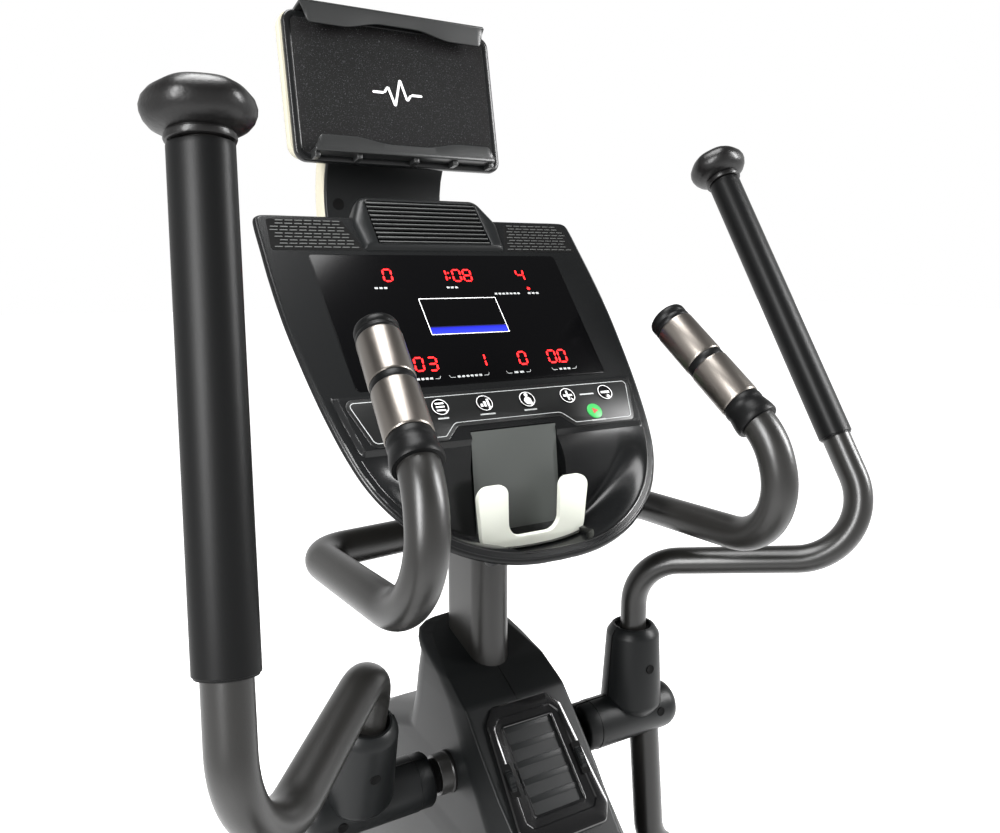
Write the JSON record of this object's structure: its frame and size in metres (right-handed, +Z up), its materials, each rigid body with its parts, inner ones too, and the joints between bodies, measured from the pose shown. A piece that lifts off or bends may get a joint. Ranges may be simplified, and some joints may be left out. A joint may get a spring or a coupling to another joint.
{
  "type": "elliptical trainer",
  "caption": "Front-drive elliptical trainer with swinging handlebars, foot pedals on roller arms, console, vent fan, pulse grips and tablet holder.",
  "frame": {"origin": "centre of the bounding box's bottom face, on the floor", "axes": "+X to the user's right, +Y forwards, the way the user faces, +Z up"},
  "size_m": [0.6686, 1.66, 1.7534],
  "materials": {
    "steel_dark": "satin powder coat",
    "steel_bright": "turned",
    "rail": "anodised",
    "iron": "turned and painted",
    "cover_plastic": "matte",
    "louver_plastic": "matte",
    "gloss_black": "high gloss",
    "holder_white": "satin",
    "board": "solder mask",
    "pad_foam": "speckled foam",
    "foam": "foam",
    "rubber_black": "matte",
    "roller_urethane": "satin",
    "pedal_plastic": "matte",
    "plate_silver": "satin"
  },
  "bodies": {
    "frame": {"base_frame": "steel_dark", "roller_rails": "rail", "leveling_feet": "rubber_black", "mast": "steel_dark", "pivot_axle": "steel_bright", "cover_left": "cover_plastic", "cover_right": "cover_plastic", "vent_bezel": "gloss_black", "fan_housing": "cover_plastic", "console_face": "cover_plastic", "console_back": "cover_plastic", "display_lens": "gloss_black", "keypad_panel": "gloss_black", "control_board": "board", "phone_holder": "holder_white", "tablet_neck": "cover_plastic", "fixed_handlebar": "steel_dark", "pulse_grips": "rubber_black", "pulse_plates": "plate_silver", "drive_belt": "rubber_black"},
    "transport_wheels": {"transport_wheels": "rubber_black"},
    "fan": {"fan_impeller": "cover_plastic"},
    "thumbwheel_left": {"thumbwheel_left": "cover_plastic"},
    "thumbwheel_right": {"thumbwheel_right": "cover_plastic"},
    "tablet_holder": {"tablet_shell": "cover_plastic", "tablet_pad": "pad_foam"},
    "tablet_clamp": {"tablet_clamp": "cover_plastic"},
    "crank": {"crank_set": "steel_bright", "drive_pulley": "cover_plastic"},
    "flywheel": {"flywheel": "iron"},
    "magnet_brake": {"magnet_brake": "steel_bright"},
    "louver_1": {"louver_1": "louver_plastic"},
    "louver_2": {"louver_2": "louver_plastic"},
    "louver_3": {"louver_3": "louver_plastic"},
    "louver_4": {"louver_4": "louver_plastic"},
    "louver_5": {"louver_5": "louver_plastic"},
    "button_mode": {"button_mode": "gloss_black"},
    "button_program": {"button_program": "gloss_black"},
    "button_body_fat": {"button_body_fat": "gloss_black"},
    "button_plus": {"button_plus": "gloss_black"},
    "button_minus": {"button_minus": "gloss_black"},
    "button_start": {"button_start": "gloss_black"},
    "swing_left": {"handlebar_left": "steel_dark", "foam_grip_left": "foam", "end_knob_left": "cover_plastic", "joint_cover_left": "cover_plastic", "swing_arm_left": "steel_dark"},
    "pedal_left": {"pedal_arm_left": "steel_dark", "foot_pedal_left": "pedal_plastic"},
    "roller_arm_left": {"roller_arm_left": "steel_dark"},
    "roller_left": {"roller_left": "roller_urethane"},
    "swing_right": {"handlebar_right": "steel_dark", "foam_grip_right": "foam", "end_knob_right": "cover_plastic", "joint_cover_right": "cover_plastic", "swing_arm_right": "steel_dark"},
    "pedal_right": {"pedal_arm_right": "steel_dark", "foot_pedal_right": "pedal_plastic"},
    "roller_arm_right": {"roller_arm_right": "steel_dark"},
    "roller_right": {"roller_right": "roller_urethane"}
  },
  "joints": [
    {"name": "swing_left_hinge", "type": "hinge", "parent": "frame", "child": "swing_left", "pos_m": [-0.15, 0.274, 1], "axis": [1, 0, 0], "range_deg": [-23.5, 4.5]},
    {"name": "pedal_left_hinge", "type": "hinge", "parent": "swing_left", "child": "pedal_left", "pos_m": [-0.252, 0.41376, 0.37545], "axis": [1, 0, 0], "range_deg": [-24, 24]},
    {"name": "roller_arm_left_hinge", "type": "hinge", "parent": "pedal_left", "child": "roller_arm_left", "pos_m": [-0.1195, -0.33185, 0.25676], "axis": [1, 0, 0], "range_deg": [-8, 8]},
    {"name": "roller_left_spin", "type": "hinge", "parent": "roller_arm_left", "child": "roller_left", "pos_m": [-0.1195, -0.45087, 0.125], "axis": [1, 0, 0], "range_deg": [-520, 520]},
    {"name": "swing_right_hinge", "type": "hinge", "parent": "frame", "child": "swing_right", "pos_m": [0.15, 0.274, 1], "axis": [1, 0, 0], "range_deg": [-4.5, 23.5]},
    {"name": "pedal_right_hinge", "type": "hinge", "parent": "swing_right", "child": "pedal_right", "pos_m": [0.252, 0.20239, 0.36402], "axis": [1, 0, 0], "range_deg": [-24, 24]},
    {"name": "roller_arm_right_hinge", "type": "hinge", "parent": "pedal_right", "child": "roller_arm_right", "pos_m": [0.1195, -0.53976, 0.22535], "axis": [1, 0, 0], "range_deg": [-8, 8]},
    {"name": "roller_right_spin", "type": "hinge", "parent": "roller_arm_right", "child": "roller_right", "pos_m": [0.1195, -0.68624, 0.125], "axis": [1, 0, 0], "range_deg": [-520, 520]},
    {"name": "crank_spin", "type": "hinge", "parent": "frame", "child": "crank", "pos_m": [0, 0.56, 0.3], "axis": [1, 0, 0], "continuous": true},
    {"name": "flywheel_spin", "type": "hinge", "parent": "frame", "child": "flywheel", "pos_m": [0, 0.645, 0.56], "axis": [1, 0, 0], "continuous": true},
    {"name": "brake_lift", "type": "hinge", "parent": "frame", "child": "magnet_brake", "pos_m": [-0.049, 0.665, 0.412], "axis": [1, 0, 0], "range_deg": [0, 6]},
    {"name": "transport_wheel_spin", "type": "hinge", "parent": "frame", "child": "transport_wheels", "pos_m": [0, 0.8, 0.047], "axis": [1, 0, 0], "continuous": true},
    {"name": "fan_spin", "type": "hinge", "parent": "frame", "child": "fan", "pos_m": [0, 0.22497, 1.00503], "axis": [0, -0.7071, 0.7071], "continuous": true},
    {"name": "louver_1_hinge", "type": "hinge", "parent": "frame", "child": "louver_1", "pos_m": [0, 0.18721, 0.99697], "axis": [1, 0, 0], "range_deg": [-26, 26]},
    {"name": "louver_2_hinge", "type": "hinge", "parent": "frame", "child": "louver_2", "pos_m": [0, 0.19867, 1.00842], "axis": [1, 0, 0], "range_deg": [-26, 26]},
    {"name": "louver_3_hinge", "type": "hinge", "parent": "frame", "child": "louver_3", "pos_m": [0, 0.21012, 1.01988], "axis": [1, 0, 0], "range_deg": [-25, 25]},
    {"name": "louver_4_hinge", "type": "hinge", "parent": "frame", "child": "louver_4", "pos_m": [0, 0.22158, 1.03133], "axis": [1, 0, 0], "range_deg": [-26, 26]},
    {"name": "louver_5_hinge", "type": "hinge", "parent": "frame", "child": "louver_5", "pos_m": [0, 0.23303, 1.04279], "axis": [1, 0, 0], "range_deg": [-26, 26]},
    {"name": "thumbwheel_left_turn", "type": "hinge", "parent": "frame", "child": "thumbwheel_left", "pos_m": [-0.039, 0.20729, 1.01422], "axis": [1, 0, 0], "range_deg": [-52, 52]},
    {"name": "thumbwheel_right_turn", "type": "hinge", "parent": "frame", "child": "thumbwheel_right", "pos_m": [0.039, 0.20729, 1.01422], "axis": [1, 0, 0], "range_deg": [0, 270]},
    {"name": "button_mode_press", "type": "slide", "parent": "frame", "child": "button_mode", "axis": [0, 0.7513, -0.66], "range_m": [0, 0.0012], "stiffness_N_per_m": 400},
    {"name": "button_program_press", "type": "slide", "parent": "frame", "child": "button_program", "axis": [0, 0.7513, -0.66], "range_m": [0, 0.0012], "stiffness_N_per_m": 400},
    {"name": "button_body_fat_press", "type": "slide", "parent": "frame", "child": "button_body_fat", "axis": [0, 0.7513, -0.66], "range_m": [0, 0.0012], "stiffness_N_per_m": 400},
    {"name": "button_plus_press", "type": "slide", "parent": "frame", "child": "button_plus", "axis": [0, 0.7513, -0.66], "range_m": [0, 0.0012], "stiffness_N_per_m": 400},
    {"name": "button_minus_press", "type": "slide", "parent": "frame", "child": "button_minus", "axis": [0, 0.7513, -0.66], "range_m": [0, 0.0012], "stiffness_N_per_m": 400},
    {"name": "button_start_press", "type": "slide", "parent": "frame", "child": "button_start", "axis": [0, 0.7513, -0.66], "range_m": [0, 0.0012], "stiffness_N_per_m": 400},
    {"name": "tablet_tilt", "type": "hinge", "parent": "frame", "child": "tablet_holder", "pos_m": [0, 0.52117, 1.60481], "axis": [1, 0, 0], "range_deg": [-10, 15]},
    {"name": "tablet_clamp_slide", "type": "slide", "parent": "tablet_holder", "child": "tablet_clamp", "axis": [0, 0.1925, 0.9813], "range_m": [0, 0.03], "stiffness_N_per_m": 150}
  ],
  "couplings": [
    {"joint": "pedal_left_hinge", "follows": "swing_left_hinge", "ratio": -1},
    {"joint": "roller_arm_left_hinge", "follows": "swing_left_hinge", "ratio": 0.2},
    {"joint": "roller_left_spin", "follows": "swing_left_hinge", "ratio": -19.394},
    {"joint": "swing_right_hinge", "follows": "swing_left_hinge", "ratio": -1},
    {"joint": "pedal_right_hinge", "follows": "swing_left_hinge", "ratio": 1},
    {"joint": "roller_arm_right_hinge", "follows": "swing_left_hinge", "ratio": -0.195},
    {"joint": "roller_right_spin", "follows": "swing_left_hinge", "ratio": 19.394},
    {"joint": "flywheel_spin", "follows": "crank_spin", "ratio": 7},
    {"joint": "louver_1_hinge", "follows": "louver_3_hinge", "ratio": 1},
    {"joint": "louver_2_hinge", "follows": "louver_3_hinge", "ratio": 1},
    {"joint": "louver_4_hinge", "follows": "louver_3_hinge", "ratio": 1},
    {"joint": "louver_5_hinge", "follows": "louver_3_hinge", "ratio": 1},
    {"joint": "thumbwheel_left_turn", "follows": "louver_3_hinge", "ratio": 2}
  ]
}
